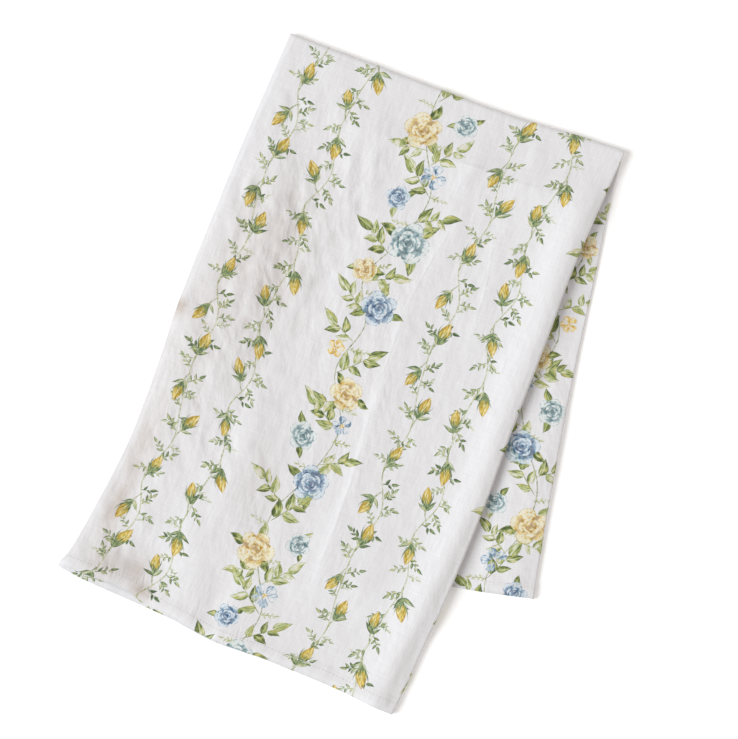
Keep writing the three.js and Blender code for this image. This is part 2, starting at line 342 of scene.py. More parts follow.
def frontPoint(across, turn, down):
    lowest, length = towel["thickness"] / 2, folded["frontLength"]
    x, gap, outerShare = sectionPlace(frontSides(down), folded["frontRoll"], down * length, across, turn)
    peek = outerShare * smoothCurve(edges["hemPeek"], across)
    y = blend(crossFoldY(across), smoothCurve(edges["frontHem"], across) + peek, down)
    rest = blend(lowest, lowest + 2 * folded["layerPitch"], propped(x, y))
    lower, upper = layerHeights(frontCreases, x, y, puckerLift(across, (1 - down) * length), gap)
    return np.stack([x, y, rest + blend(lower, upper, outerShare)], -1)


def backPoint(across, turn, down):
    length = backClothLength()
    x, gap, outerShare = sectionPlace(backSides(down), folded["backRoll"], down * length, across, turn)
    y = blend(crossFoldY(across), backHemY(across), down)
    lower, upper = layerHeights(backCreases, x, y, puckerLift(across, (1 - down) * length), gap)
    covered = propped(x, y) * (1 - smoothStep(x, *folded["coverEdge"]))  # pressed flat under the front
    upper = blend(upper, lower + gap, covered)
    return np.stack([x, y, towel["thickness"] / 2 + blend(upper, lower, outerShare)], -1)


def foldCloth(p, q):  # flat place to folded place, p across from the open side and q along from the front hem
    p, q = np.broadcast_arrays(np.asarray(p, float), np.asarray(q, float))
    half = (towel["width"] - folded["rollWidth"]) / 2
    across = np.clip(np.minimum(p, towel["width"] - p) / half, 0, 1)
    turn = np.clip((p - half) / folded["rollWidth"], 0, 1) * math.pi
    frontDown = np.clip(1 - q / folded["frontLength"], 0, 1)
    backDown = np.clip((q - folded["frontLength"] - folded["bendLength"]) / backClothLength(), 0, 1)
    bend = np.clip((q - folded["frontLength"]) / folded["bendLength"], 0, 1) * math.pi
    top, under = frontPoint(across, turn, frontDown), backPoint(across, turn, backDown)
    radius = (top[..., 2] - under[..., 2]) / 2
    step = 0.01  # for the slope of the cross fold
    before, after = np.maximum(across - step, 0), np.minimum(across + step, 1)
    rise, run = crossFoldY(after) - crossFoldY(before), (after - before) * folded["panelWidth"]
    reach = radius * np.sin(bend) / np.hypot(rise, run)
    onBend = np.stack([top[..., 0] - rise * reach, top[..., 1] + run * reach,
                       under[..., 2] + radius * (1 + np.cos(bend))], -1)
    isFront, isBack = (bend <= 0)[..., None], (bend >= math.pi)[..., None]
    place = np.where(isFront, top, np.where(isBack, under, onBend))
    place[..., 2] += hemShare(p, q) * (towel["hemThickness"] - towel["thickness"]) / 2
    return place - [*folded["layoutMiddle"], 0]


def gridLines():  # flat places of the grid's columns and rows, with a line at each hem's inner edge
    half, hem = (towel["width"] - folded["rollWidth"]) / 2, towel["hemWidth"]
    stepStart, stepEnd = (hem * share for share in towel["hemStep"])
    edge = [0, hem * 0.4, stepStart, hem * 0.9]
    side = np.concatenate([edge, np.linspace(stepEnd, half, towel["columns"] + 1 - len(edge))])
    roll = np.linspace(half, half + folded["rollWidth"], towel["rollColumns"] + 1)[1:-1]
    columns = np.concatenate([side, roll, (towel["width"] - side)[::-1]])
    end, bendStart = towel["length"], folded["frontLength"]
    bendEnd = bendStart + folded["bendLength"]
    front = np.concatenate([edge, np.linspace(stepEnd, bendStart, towel["frontRows"] + 1 - len(edge))])
    bend = np.linspace(bendStart, bendEnd, towel["bendRows"] + 1)[1:-1]
    back = np.concatenate([np.linspace(bendEnd, end - stepEnd, towel["backRows"] + 1 - len(edge)),
                           end - np.array(edge[::-1])])
    return columns, np.concatenate([front, bend, back])


# The print: what is drawn where on the flat cloth.
# Each motif is a small shape in its own coordinates, which the cloth's face corners carry in layers. The
# material draws one shape for each layer, so the print stays crisp. Places are (p, q) on the flat cloth,
# and a direction of 0 points along the cloth, towards higher q.

printLayers = {"stem": 3, "leaf": 9, "bud": 2, "rose": 1, "crease": 1}
sprigColumns = ("along", "side", "lean", "length", "leaves", "leaf", "tone")
palettes = {"vineGreen": 0, "garlandGreen": 2, "bluePetal": 4, "goldPetal": 6}  # added to a leaf's tone
roseKinds = {"cream": 0.5, "teal": 1.5, "blue": 2.5}
motifs = {kind: [] for kind in printLayers}
noMotif = (9, 0, 0)  # well outside every shape
shapeBoxes = {  # x and y, from and to, of the part of its own coordinates that a shape fills
    "leaf": (-1.5, 1.5, -1.05, 1.05),
    "bud": (-0.6, 0.6, -0.1, 1.06),
    "rose": (-1.1, 1.1, -1.1, 1.1),
}

vineRepeat = {  # one repeat of a bud vine: buds at both sides of a winding stem, up and down in turn
    "length": 150,
    "repeats": {1: (-2, 6), -1: (-5, 3)},  # first and end, where it runs up the cloth and down it
    "margin": 20,  # how far past the cloth's ends it is drawn
    "sway": 3.4,
    "stem": 0.85,
    "stalkWidth": 1.55,
    "buds": [
        {"along": 4, "side": 1, "up": 1, "lean": 20, "size": 15, "stalk": 10},
        {"along": 50, "side": -1, "up": -1, "lean": 15, "size": 14, "stalk": 9},
        {"along": 58, "side": 1, "up": 1, "lean": 14, "size": 15.5, "stalk": 10},
        {"along": 107, "side": -1, "up": -1, "lean": 24, "size": 14.5, "stalk": 9},
        {"along": 117, "side": -1, "up": 1, "lean": -12, "size": 14, "stalk": 9},
    ],
    "sprigs": [  # in the sprig columns
        (9, -1, 50, 12, 5, 5.8, 0.42), (15, -1, 98, 9, 4, 5.0, 0.62), (19, 1, 104, 8, 3, 6.0, 0.2),
        (27, -1, 52, 11, 5, 5.4, 0.5), (33, 1, 62, 10, 5, 4.2, 0.82), (37, 1, 98, 9, 4, 5.4, 0.34),
        (44, 1, 46, 12, 5, 5.6, 0.4), (55, -1, 42, 12, 5, 5.6, 0.56), (62, -1, 100, 9, 4, 4.4, 0.8),
        (69, -1, 58, 11, 5, 5.8, 0.34), (76, 1, 106, 9, 3, 6.0, 0.22), (82, -1, 50, 11, 5, 5.0, 0.6),
        (89, 1, 60, 10, 5, 4.2, 0.84), (95, 1, 92, 10, 4, 5.6, 0.48), (101, 1, 44, 12, 6, 5.4, 0.42),
        (111, 1, 84, 9, 3, 6.0, 0.2), (122, 1, 54, 12, 5, 5.4, 0.52), (128, -1, 102, 9, 4, 5.0, 0.64),
        (136, 1, 48, 12, 5, 5.8, 0.38), (142, -1, 58, 12, 5, 5.2, 0.56), (147, 1, 98, 8, 4, 4.2, 0.8),
    ],
}
vines = [  # centre line, first repeat's place, direction and seed of each bud vine
    (25, -40, 1, 11), (61, 120, -1, 12), (177, 32, 1, 13), (213, 88, -1, 14),
    (329, -12, 1, 15), (365, 60, -1, 16), (481, 10, 1, 17),
]

garlandRepeat = {  # one repeat of a rose garland
    "length": 312,
    "repeats": {1: (-2, 4), -1: (-3, 2)},
    "margin": {"stem": 50, "flower": 30, "sprig": 40},  # past the cloth's ends
    "stem": 0.8,
    "path": [(0, 3), (30, -10), (66, 6), (100, 12), (134, -6), (168, -11), (204, 4), (240, 11), (276, -5)],
    "roses": [
        {"along": 14, "aside": 8, "radius": 12.5, "kind": "blue"},
        {"along": 36, "aside": -11, "radius": 9.0, "kind": "cream"},
        {"along": 63, "aside": 10, "radius": 14.5, "kind": "teal"},
        {"along": 90, "aside": -8, "radius": 8.5, "kind": "blue"},
        {"along": 140, "aside": -11, "radius": 13.0, "kind": "cream"},
        {"along": 153, "aside": 15, "radius": 8.5, "kind": "teal"},
        {"along": 196, "aside": 5, "radius": 12.5, "kind": "blue"},
        {"along": 225, "aside": -11, "radius": 10.0, "kind": "teal"},
        {"along": 262, "aside": 8, "radius": 11.5, "kind": "cream"},
    ],
    "blossoms": [  # open flowers with five petals
        {"along": 112, "aside": 9, "petal": 8.5, "palette": "bluePetal", "turn": 20},
        {"along": 241, "aside": 12, "petal": 6.5, "palette": "bluePetal", "turn": 50},
        {"along": 290, "aside": -10, "petal": 6.0, "palette": "goldPetal", "turn": 5},
    ],
    "sprays": [  # branches of larger leaves, in the sprig columns
        (8, -1, 62, 27, 5, 14, 0.5), (28, 1, 50, 25, 4, 14, 0.58), (52, -1, 56, 30, 5, 15, 0.48),
        (78, 1, 62, 26, 5, 14, 0.4), (98, -1, 44, 32, 5, 15, 0.5), (118, 1, 50, 27, 5, 14, 0.56),
        (128, -1, 112, 20, 4, 12, 0.64), (162, 1, 44, 32, 5, 16, 0.46), (176, -1, 60, 27, 5, 14, 0.56),
        (210, 1, 70, 24, 4, 13, 0.6), (236, -1, 50, 30, 5, 15, 0.44), (256, -1, 104, 22, 4, 13, 0.5),
        (274, 1, 42, 31, 5, 15, 0.52), (298, -1, 66, 25, 4, 14, 0.58),
    ],
    "fillers": [  # small pale sprigs, in the sprig columns
        (20, 1, 82, 16, 8, 3.6, 0.75), (38, 1, 70, 15, 7, 3.8, 0.6), (75, -1, 94, 15, 7, 3.8, 0.8),
        (98, 1, 84, 15, 7, 3.6, 0.7), (132, 1, 72, 17, 8, 3.6, 0.72), (158, -1, 84, 15, 7, 3.8, 0.8),
        (184, 1, 88, 15, 7, 3.6, 0.66), (206, -1, 104, 16, 7, 3.6, 0.72), (228, 1, 80, 15, 7, 3.8, 0.62),
        (252, 1, 92, 15, 7, 3.8, 0.78), (292, 1, 84, 16, 8, 3.6, 0.7),
    ],
}
garlands = [(123, -70, 1, 21), (275, 214, -1, 22), (427, 30, 1, 23)]
sprigForm = {
    "slim": {"vineGreen": 0.42, "garlandGreen": 0.48},  # a leaf's width, for its length
    "length": (0.88, 1.1),  # uneven, from and to
    "leaf": (0.78, 1.12),
    "smaller": 0.22,  # at the tip
    "spread": (38, 62),  # degrees between leaf and stalk
    "stalkWidth": 0.75,
    "bow": 0.5,
}


def heading(angle):
    return np.array([math.sin(angle), math.cos(angle)])


def addShape(kind, centre, angle, size, third):
    motifs[kind].append({"centre": centre, "angle": angle, "size": size, "third": third})


def drawLeaf(base, angle, length, width, tone, palette="vineGreen"):
    shade = palettes[palette] + min(max(tone, 0.02), 0.98)
    addShape("leaf", base + heading(angle) * length / 2, angle, (width / 2, length / 2), shade)


def drawBlossom(spot, bloom, dice):  # petals narrow at the middle and round outside, then its stamens
    size = bloom["petal"]
    for k in range(5):
        angle = math.radians(bloom["turn"]) + 2 * math.pi * k / 5 + dice.uniform(-0.12, 0.12)
        drawLeaf(spot + heading(angle) * size * 1.06, angle + math.pi, size, size * 0.84,
                 dice.uniform(0.45, 0.9), bloom["palette"])
    for k in range(3):
        drawLeaf(spot, bloom["turn"] + 2.1 * k, 2.6, 1.5, 0.35, "goldPetal")


def drawStem(points, width, tone, thinStart=1.0):
    motifs["stem"].append({"points": smoothPath(points), "width": width, "third": tone, "start": thinStart})


def flatPlace(x, y):  # on the flat cloth, of a place on the front as it lies folded
    across = x / folded["panelWidth"]
    for _ in range(4):
        top, bottom = crossFoldY(across), smoothCurve(edges["frontHem"], across)
        down = (top - y) / (top - bottom)
        left, right = frontSides(down)
        across = (x - left) / (right - left)
    return across * (towel["width"] - folded["rollWidth"]) / 2, (1 - down) * folded["frontLength"]


def drawCrease(points, width, rise):
    path = smoothPath([flatPlace(*point) for point in points])
    motifs["crease"].append({"points": path, "width": width, "third": rise, "start": 1, "fades": True})


def smoothPath(points, steps=6):  # through all the points
    points = np.array(points, float)
    ends = np.concatenate([[2 * points[0] - points[1]], points, [2 * points[-1] - points[-2]]])
    path = []
    for a, b, c, d in zip(ends, ends[1:], ends[2:], ends[3:]):
        for t in np.arange(steps) / steps:
            path.append(b + (c - a) / 2 * t + (a - 2.5 * b + 2 * c - d / 2) * t**2
                        + (-a / 2 + 1.5 * b - 1.5 * c + d / 2) * t**3)
    return np.array([*path, points[-1]])


def drawSprig(base, angle, sprig, dice, palette="vineGreen"):  # a stalk with leaves at both sides and its tip
    form, count = sprigForm, sprig["leaves"]
    slim, length = form["slim"][palette], sprig["length"] * dice.uniform(*form["length"])
    bow = dice.uniform(-form["bow"], form["bow"])
    stalk = angle + bow * 0.3
    drawLeaf(base, stalk, length * 0.8, form["stalkWidth"], sprig["tone"] - 0.1, palette)
    for k in range(count - 1):
        share = (k + 1) / count
        spot = base + heading(stalk) * length * 0.78 * share
        side = 1 if k % 2 else -1
        size = sprig["leaf"] * dice.uniform(*form["leaf"]) * (1 - form["smaller"] * share)
        turn = side * math.radians(dice.uniform(*form["spread"])) + bow * 0.4
        drawLeaf(spot, angle + turn, size, size * slim, sprig["tone"] + dice.uniform(-0.22, 0.22), palette)
    tip = base + heading(stalk) * length * 0.74
    drawLeaf(tip, angle + bow * 0.6, sprig["leaf"] * 1.1, sprig["leaf"] * slim,
             sprig["tone"] + dice.uniform(-0.15, 0.15), palette)


def repeatOnCloth(centre, start, way):  # where a repeat's places and directions come to lie
    def place(aside, along):
        return np.array([centre + aside, start + way * along])

    def facing(angle):  # turned over where the repeat runs down the cloth
        return angle if way > 0 else math.pi - angle

    return place, facing


def onTowel(place, margin):
    return -margin < place[1] < towel["length"] + margin


def drawVine(centre, start, way, seed):
    dice = random.Random(seed)
    place, facing = repeatOnCloth(centre, start, way)
    length, margin, (first, end) = vineRepeat["length"], vineRepeat["margin"], vineRepeat["repeats"][way]

    def onStem(along):  # the stem winds about its centre line
        turn = 2 * math.pi * along / length
        return place(vineRepeat["sway"] * (math.sin(2 * turn + 0.6) + 0.45 * math.sin(3 * turn + 2.1)), along)

    path = [onStem(along) for along in np.arange(first * length, end * length, 9.0)]
    drawStem([point for point in path if onTowel(point, margin)], vineRepeat["stem"], 0.62)
    for r in range(first, end):
        for bud in vineRepeat["buds"]:
            root = onStem(bud["along"] + r * length + dice.uniform(-1.5, 1.5))
            lean = math.radians(bud["lean"] + dice.uniform(-6, 6)) * bud["side"]
            angle = lean if bud["up"] > 0 else math.pi - lean
            outward = heading(facing(angle))
            knee = root + heading(facing(angle - lean * 0.4)) * bud["stalk"] * 0.5
            base = root + outward * bud["stalk"]
            if not onTowel(base, margin):
                continue
            drawStem([root, knee, base + outward * 1.5], vineRepeat["stalkWidth"], 0.4, 0.35)
            size = bud["size"] * dice.uniform(0.94, 1.06)
            turned = facing(angle + dice.uniform(-0.12, 0.12))
            width = -size if dice.random() < 0.5 else size  # mirrored or not
            addShape("bud", base, turned, (width, size), dice.uniform(0, 1))
            for side in (-1, 1):  # two slender leaves below the bud
                turn = side * math.radians(dice.uniform(28, 66))
                leaf = dice.uniform(8.0, 12.0)
                drawLeaf(base - outward * 2.4, facing(angle + turn), leaf, leaf * 0.29,
                         dice.uniform(0.2, 0.6))
        for row in vineRepeat["sprigs"]:
            sprig = dict(zip(sprigColumns, row))
            base = onStem(sprig["along"] + r * length)
            if onTowel(base, margin):
                angle = math.radians(sprig["lean"] + dice.uniform(-9, 9)) * sprig["side"]
                drawSprig(base, facing(angle), sprig, dice)


def drawGarland(centre, start, way, seed):
    dice = random.Random(seed)
    place, facing = repeatOnCloth(centre, start, way)
    length, margin = garlandRepeat["length"], garlandRepeat["margin"]
    repeats = range(*garlandRepeat["repeats"][way])

    def onStem(along):
        places, asides = zip(*garlandRepeat["path"], (length, garlandRepeat["path"][0][1]))
        return place(np.interp(along % length, places, asides), along)

    path = [place(aside, along + r * length) for r in repeats for along, aside in garlandRepeat["path"]]
    drawStem([point for point in path if onTowel(point, margin["stem"])], garlandRepeat["stem"], 0.35)
    for r in repeats:
        for rose in garlandRepeat["roses"]:
            spot, radius = place(rose["aside"], rose["along"] + r * length), rose["radius"]
            if not onTowel(spot, margin["flower"]):
                continue
            turn = dice.uniform(0, 2 * math.pi)
            addShape("rose", spot, turn, (radius, radius), roseKinds[rose["kind"]])
            count = 3 if radius > 10 else 2
            for k in range(count):  # leaves that show from under the flower
                angle = turn + 2 * math.pi * (k + dice.uniform(-0.22, 0.22)) / count
                leaf = radius * dice.uniform(0.85, 1.1)
                drawLeaf(spot + heading(angle) * radius * 0.72, angle + dice.uniform(-0.3, 0.3), leaf,
                         leaf * 0.52, dice.uniform(0.1, 0.6), "garlandGreen")
        for row in garlandRepeat["sprays"] + garlandRepeat["fillers"]:
            sprig = dict(zip(sprigColumns, row))
            base = onStem(sprig["along"] + r * length)
            if onTowel(base, margin["sprig"]):
                angle = math.radians(sprig["lean"] + dice.uniform(-8, 8)) * sprig["side"]
                drawSprig(base, facing(angle), sprig, dice, "garlandGreen")
        for bloom in garlandRepeat["blossoms"]:
            spot = place(bloom["aside"], bloom["along"] + r * length)
            if onTowel(spot, margin["flower"]):
                drawBlossom(spot, bloom, dice)


def cellBlock(grid, low, high):  # the grid cells between two places on the flat cloth
    block = []
    for lines, start, end in ((grid["rows"], low[1], high[1]), (grid["columns"], low[0], high[0])):
        first = max(np.searchsorted(lines, start) - 1, 0)
        block.append(slice(first, min(np.searchsorted(lines, end), len(lines) - 1)))
    return tuple(block)


def stampShape(layers, kind, motif, grid):  # onto the first layer that is free there
    lowX, highX, lowY, highY = shapeBoxes[kind]
    centre, (width, height) = motif["centre"], motif["size"]
    reach = 1.06 * np.hypot(width * max(-lowX, highX), height * max(-lowY, highY))
    area = cellBlock(grid, centre - reach, centre + reach)
    dp, dq = grid["p"][area] - centre[0], grid["q"][area] - centre[1]
    if dp.size == 0:
        return True
    along, aside = heading(motif["angle"]), heading(motif["angle"] + math.pi / 2)
    x, y = (dp * aside[0] + dq * aside[1]) / width, (dp * along[0] + dq * along[1]) / height
    hit = (x.min(-1) < highX) & (x.max(-1) > lowX) & (y.min(-1) < highY) & (y.max(-1) > lowY)
    if kind == "rose":
        hit &= np.hypot(x, y).min(-1) < highX
    for layer in layers:
        if not (layer[area][..., 0, 0][hit] < noMotif[0]).any():
            layer[area][hit] = np.stack([x, y, np.full_like(x, motif["third"])], -1)[hit]
            return True
    return False


def stampLine(layers, motif, grid):  # onto the layer that is freest along it
    path, margin = motif["points"], motif["width"] / 2 + 0.5
    found = {}
    for k, (a, b) in enumerate(zip(path, path[1:])):  # the cells that each piece of the path touches
        rows, columns = cellBlock(grid, np.minimum(a, b) - margin, np.maximum(a, b) + margin)
        for row in range(rows.start, rows.stop):
            for column in range(columns.start, columns.stop):
                found.setdefault((row, column), []).append(k)
    if not found:
        return
    cells = np.array(list(found))
    best = min(layers, key=lambda layer: (layer[cells[:, 0], cells[:, 1], 0, 0] < noMotif[0]).sum())
    steps = len(path) - 1
    for cell, pieces in found.items():
        if best[cell][0, 0] < noMotif[0]:
            continue
        spot = np.stack([grid["p"][cell], grid["q"][cell]], -1)
        nearest = np.full(4, np.inf)
        for k in range(max(min(pieces) - 1, 0), min(max(pieces) + 2, steps)):
            step, offset = path[k + 1] - path[k], spot - path[k]
            share = np.clip((offset @ step) / (step @ step), 0, 1)
            away = np.hypot(*(offset - share[:, None] * step).T)
            side = np.sign(step[0] * offset[:, 1] - step[1] * offset[:, 0])
            done = (k + share) / steps
            width = motif["width"] / 2 * blend(motif["start"], 1, done)
            third = motif["third"] * (np.sin(math.pi * done) if "fades" in motif else np.ones(4))
            closer = away < nearest
            best[cell][closer] = np.stack([away * side, width, third], -1)[closer]
            nearest = np.minimum(away, nearest)


def loopVertices(mesh):
    vertex = np.empty(len(mesh.loops), int)
    mesh.loops.foreach_get("vertex_index", vertex)
    return vertex


def printCloth(cloth, columns, rows):  # carries every motif and fine crease to the face corners
    for vine in vines:
        drawVine(*vine)
    for garland in garlands:
        drawGarland(*garland)
    for line in pressedLines:
        drawCrease(**line)
    wide, high = len(columns) - 1, len(rows) - 1
    cornerRow, cornerColumn = np.divmod(loopVertices(cloth.data).reshape(-1, 4), wide + 1)
    faceOf = np.empty((high, wide), int)
    faceOf[cornerRow.min(1), cornerColumn.min(1)] = np.arange(high * wide)
    cornerP, cornerQ = columns[cornerColumn][faceOf], rows[cornerRow][faceOf]
    grid = {"columns": columns, "rows": rows, "p": cornerP, "q": cornerQ}
    for kind, count in printLayers.items():
        layers = [np.tile(np.array(noMotif, float), (high, wide, 4, 1)) for _ in range(count)]
        left = 0
        for motif in motifs[kind]:
            if "points" in motif:
                stampLine(layers, motif, grid)
            elif not stampShape(layers, kind, motif, grid):
                left += 1
        for k, layer in enumerate(layers):
            corners = np.empty((high * wide, 4, 3))
            corners[faceOf] = layer
            marks = cloth.data.attributes.new(f"{kind}{k}", "FLOAT_VECTOR", "CORNER")
            marks.data.foreach_set("vector", corners.ravel())
        print(f"print: {len(motifs[kind])} of {kind}, {left} left out")


def makeCloth():
    columns, rows = gridLines()
    bpy.ops.object.select_all(action="DESELECT")
    bpy.ops.mesh.primitive_grid_add(x_subdivisions=len(columns) - 1, y_subdivisions=len(rows) - 1, size=1)
    cloth = bpy.context.object
    cloth.name = cloth.data.name = "tea_towel"
    p, q = np.meshgrid(columns, rows)
    cloth.data.vertices.foreach_set("co", (foldCloth(p, q) * mm).ravel())
    cloth.data.update()
    threads = cloth.data.uv_layers[0]
    threads.name = "threads"  # metres along the flat cloth
    uv = np.stack([p.ravel(), q.ravel()], -1)[loopVertices(cloth.data)] * mm
    threads.data.foreach_set("uv", uv.ravel())
    printCloth(cloth, columns, rows)
    markCloth(cloth, p, q)
    return cloth, p.ravel(), q.ravel()


def spread(x, y, spots):  # soft spots at places in the folded layout
    return sum(share * np.exp(-(((x - a) / reachX) ** 2) - ((y - b) / reachY) ** 2)
               for a, b, reachX, reachY, share in spots)


def hollows(height):  # how far each point of the grid lies below the cloth around it
    steps = hollowShade["reach"]
    wide = np.pad(height, steps, mode="edge")
    starts = (0, steps, 2 * steps)
    around = sum(wide[r:r + height.shape[0], c:c + height.shape[1]] for r in starts for c in starts) / 9
    return np.maximum(around - height, 0)


def markCloth(cloth, p, q):  # what the material reads: how crinkled the cloth is, and where shade is painted on it, with two small brown spots
    x, y, height = np.moveaxis(foldCloth(p, q), -1, 0)
    x, y = x + folded["layoutMiddle"][0], y + folded["layoutMiddle"][1]
    onTop = (p < towel["width"] / 2) & (q < folded["frontLength"])
    crinkle = crinkled["share"] + spread(x, y, crinkled["spots"])
    # painted shade in the hollows, strongest where the cloth is crinkled, then the painted shade and brown
    # spots on the front
    paintedShade = np.minimum(hollows(height) * hollowShade["each"], hollowShade["most"]) * crinkle**2
    paintedShade += spread(x, y, paintedShadeSpots) * onTop
    for name, values in (("crinkle", crinkle), ("paintedShade", paintedShade)):
        marks = cloth.data.attributes.new(name, "FLOAT", "POINT")
        marks.data.foreach_set("value", np.minimum(values, 1).ravel())


bakeMap = {  # shares of the map for each millimetre of cloth, and where each part starts
    "printed": 0.00131, "reverse": 0.0006, "reverseStart": 0.668, "rimStart": 0.978, "rimWidth": 0.015,
    "along": 0.001306, "rimLength": 0.98, "margin": 0.01,
}


def addBakeMap(cloth, faces):  # a flat map for texture baking: printed side, reverse and rim side by side
    mesh = cloth.data
    uv = np.empty(len(mesh.loops) * 2)
    mesh.uv_layers["threads"].data.foreach_get("uv", uv)
    p, q = uv.reshape(-1, 4, 2).transpose(2, 0, 1) / mm
    isPrinted = np.arange(len(p))[:, None] < faces
    u = np.where(isPrinted, p * bakeMap["printed"], bakeMap["reverseStart"] + p * bakeMap["reverse"])
    v = q * bakeMap["along"] + bakeMap["margin"]
    below = loopVertices(mesh).reshape(-1, 4)[2 * faces:] >= len(mesh.vertices) // 2
    rimP, rimQ = p[2 * faces:], q[2 * faces:]
    width, length, near = towel["width"], towel["length"], 0.01
    middleP, middleQ = rimP.mean(1, keepdims=True), rimQ.mean(1, keepdims=True)
    around = np.select([middleQ < near, middleP > width - near, middleQ > length - near],
                       [rimP, width + rimQ, 2 * width + length - rimP], 2 * (width + length) - rimQ)
    u[2 * faces:] = bakeMap["rimStart"] + below * bakeMap["rimWidth"]
    v[2 * faces:] = around / (2 * (width + length)) * bakeMap["rimLength"] + bakeMap["margin"]
    layer = mesh.uv_layers.new(name="OFBake", do_init=False)
    layer.data.foreach_set("uv", np.stack([u, v], -1).ravel())


def thickenCloth(cloth, p, q):
    faces = len(cloth.data.polygons)
    share = blend(towel["thickness"] / towel["hemThickness"], 1, hemShare(p, q))
    group = cloth.vertex_groups.new(name="clothThickness")
    for value in np.unique(share.round(4)):
        group.add(np.flatnonzero(share.round(4) == value).tolist(), float(value), "REPLACE")
    solid = cloth.modifiers.new("thickness", "SOLIDIFY")
    solid.thickness = towel["hemThickness"] * mm
    solid.offset = 0
    solid.vertex_group = group.name
    solid.material_offset = 1
    bpy.context.view_layer.objects.active = cloth
    bpy.ops.object.modifier_apply(modifier=solid.name)
    cloth.vertex_groups.clear()
    bpy.ops.object.shade_smooth()
    addBakeMap(cloth, faces)


cloth, flatP, flatQ = makeCloth()
print("cloth folded:", len(cloth.data.vertices), "points")
thickenCloth(cloth, flatP, flatQ)
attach(cloth, "root")
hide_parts("towel_cloth")

# The sewing thread along both end hems, on both sides of the cloth.

hemSeam = {
    "fromEnd": 8.4,
    "pitch": 2.5,  # from one needle hole to the next
    "stitch": 2.1,
    "thread": 0.36,
    "arch": 0.16,  # how far a stitch rises between its holes
    "sunk": 0.12,
    "lowest": 0.02,  # they are pressed flat on the floor
    "rings": 5,
    "sides": 6,
}


def unit(vectors):
    return vectors / np.linalg.norm(vectors, axis=-1, keepdims=True)


def seamPlaces(p, q):  # places in the middle of the cloth, with the direction along it and outwards
    step = 0.6
    across = foldCloth(np.minimum(p + step, towel["width"]), q) - foldCloth(np.maximum(p - step, 0), q)
    along = foldCloth(p, q + step) - foldCloth(p, q - step)
    return foldCloth(p, q), unit(along), unit(np.cross(across, along))


def makeStitches():
    rings, sides, pitch = hemSeam["rings"], hemSeam["sides"], hemSeam["pitch"]
    middles = np.arange(pitch, towel["width"] - pitch / 2, pitch)
    share = np.linspace(0, 1, rings)
    p = middles[:, None] + (share - 0.5) * hemSeam["stitch"]
    radius = hemSeam["thread"] / 2 * (0.6 + 0.4 * np.sin(math.pi * share))
    height = hemSeam["arch"] * np.sin(math.pi * share) - hemSeam["sunk"]
    turn = 2 * math.pi * np.arange(sides) / sides
    points, faces = [], []
    for line in (hemSeam["fromEnd"], towel["length"] - hemSeam["fromEnd"]):
        q = np.full_like(p, line)
        place, along, outward = seamPlaces(p, q)
        half = blend(towel["thickness"], towel["hemThickness"], hemShare(p, q))[..., None] / 2
        for side in (1, -1):
            core = place + outward * side * (half + height[:, None])
            ring = (core[:, :, None] + radius[:, None, None] * (along[:, :, None] * np.cos(turn)[:, None]
                    + outward[:, :, None] * side * np.sin(turn)[:, None]))
            points.append(ring.reshape(-1, 3))
    points = np.concatenate(points)
    points[:, 2] = np.maximum(points[:, 2], hemSeam["lowest"])
    corner = np.arange(sides)
    wall = [(r * sides + a, r * sides + b, (r + 1) * sides + b, (r + 1) * sides + a)
            for r in range(rings - 1) for a, b in zip(corner, np.roll(corner, -1))]
    caps = [tuple(corner[::-1]), tuple(corner + (rings - 1) * sides)]
    for first in range(0, len(points), rings * sides):
        faces += [tuple(int(first + k) for k in face) for face in wall + caps]
    mesh = bpy.data.meshes.new("hem_stitches")
    mesh.from_pydata((points * mm).tolist(), [], faces)
    stitches = bpy.data.objects.new("hem_stitches", mesh)
    bpy.context.scene.collection.objects.link(stitches)
    bpy.ops.object.select_all(action="DESELECT")
    stitches.select_set(True)
    bpy.context.view_layer.objects.active = stitches
    bpy.ops.object.mode_set(mode="EDIT")
    bpy.ops.mesh.select_all(action="SELECT")
    bpy.ops.mesh.normals_make_consistent(inside=False)
    bpy.ops.object.mode_set(mode="OBJECT")
    bpy.ops.object.shade_smooth()
    return stitches, len(points) // (rings * sides)


stitches, stitchCount = makeStitches()
print("hems sewn:", stitchCount, "stitches")
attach(stitches, "root")

# Materials: the linen and its print.

linenLook = {
    "cloth": ((0.660, 0.654, 0.670, 1), (0.751, 0.745, 0.763, 1)),  # darkest and lightest thread
    # colour multiplied in for the painted warm shade, in hollows and on the front, and for the two small
    # brown spots
    "paintedShadeColour": (0.60, 0.485, 0.38, 1),
    "shadePatches": {"stretch": (110, 52, 1), "share": (0.72, 1.22)},  # the painted shade is uneven
    "thread": 0.00058,  # from one thread to the next
    "slub": (1150, 55),  # fineness of the thicker threads across and along them
    "weaveDepth": 0.000125,
    "crinkles": ((98, 56), (245, 108)),  # fineness across and along the cloth, of broad and fine ones
    "crinkleDepth": (0.0018, 0.0007),
    "slant": 0.3,  # the crinkles lean to the left, going up
    "wander": 0.01,  # how far they stray from a straight line
    "wobble": 1600,  # fineness of the uneven edges of the print
    "pigment": 420,  # and of its uneven strength
    # needle holes painted darker: partly the hole, partly painted shade in it
    "needleHoleShade": (0.46, 0.43, 0.42, 1),
    "holeShadeShare": 0.45,
    "holeDepth": 0.00014,
    "through": 0.3,  # how much of the print shows on the reverse
}
threadLook = {"colour": ((0.66, 0.645, 0.62, 1), (0.80, 0.79, 0.765, 1)), "fineness": 2600, "depth": 0.00006}


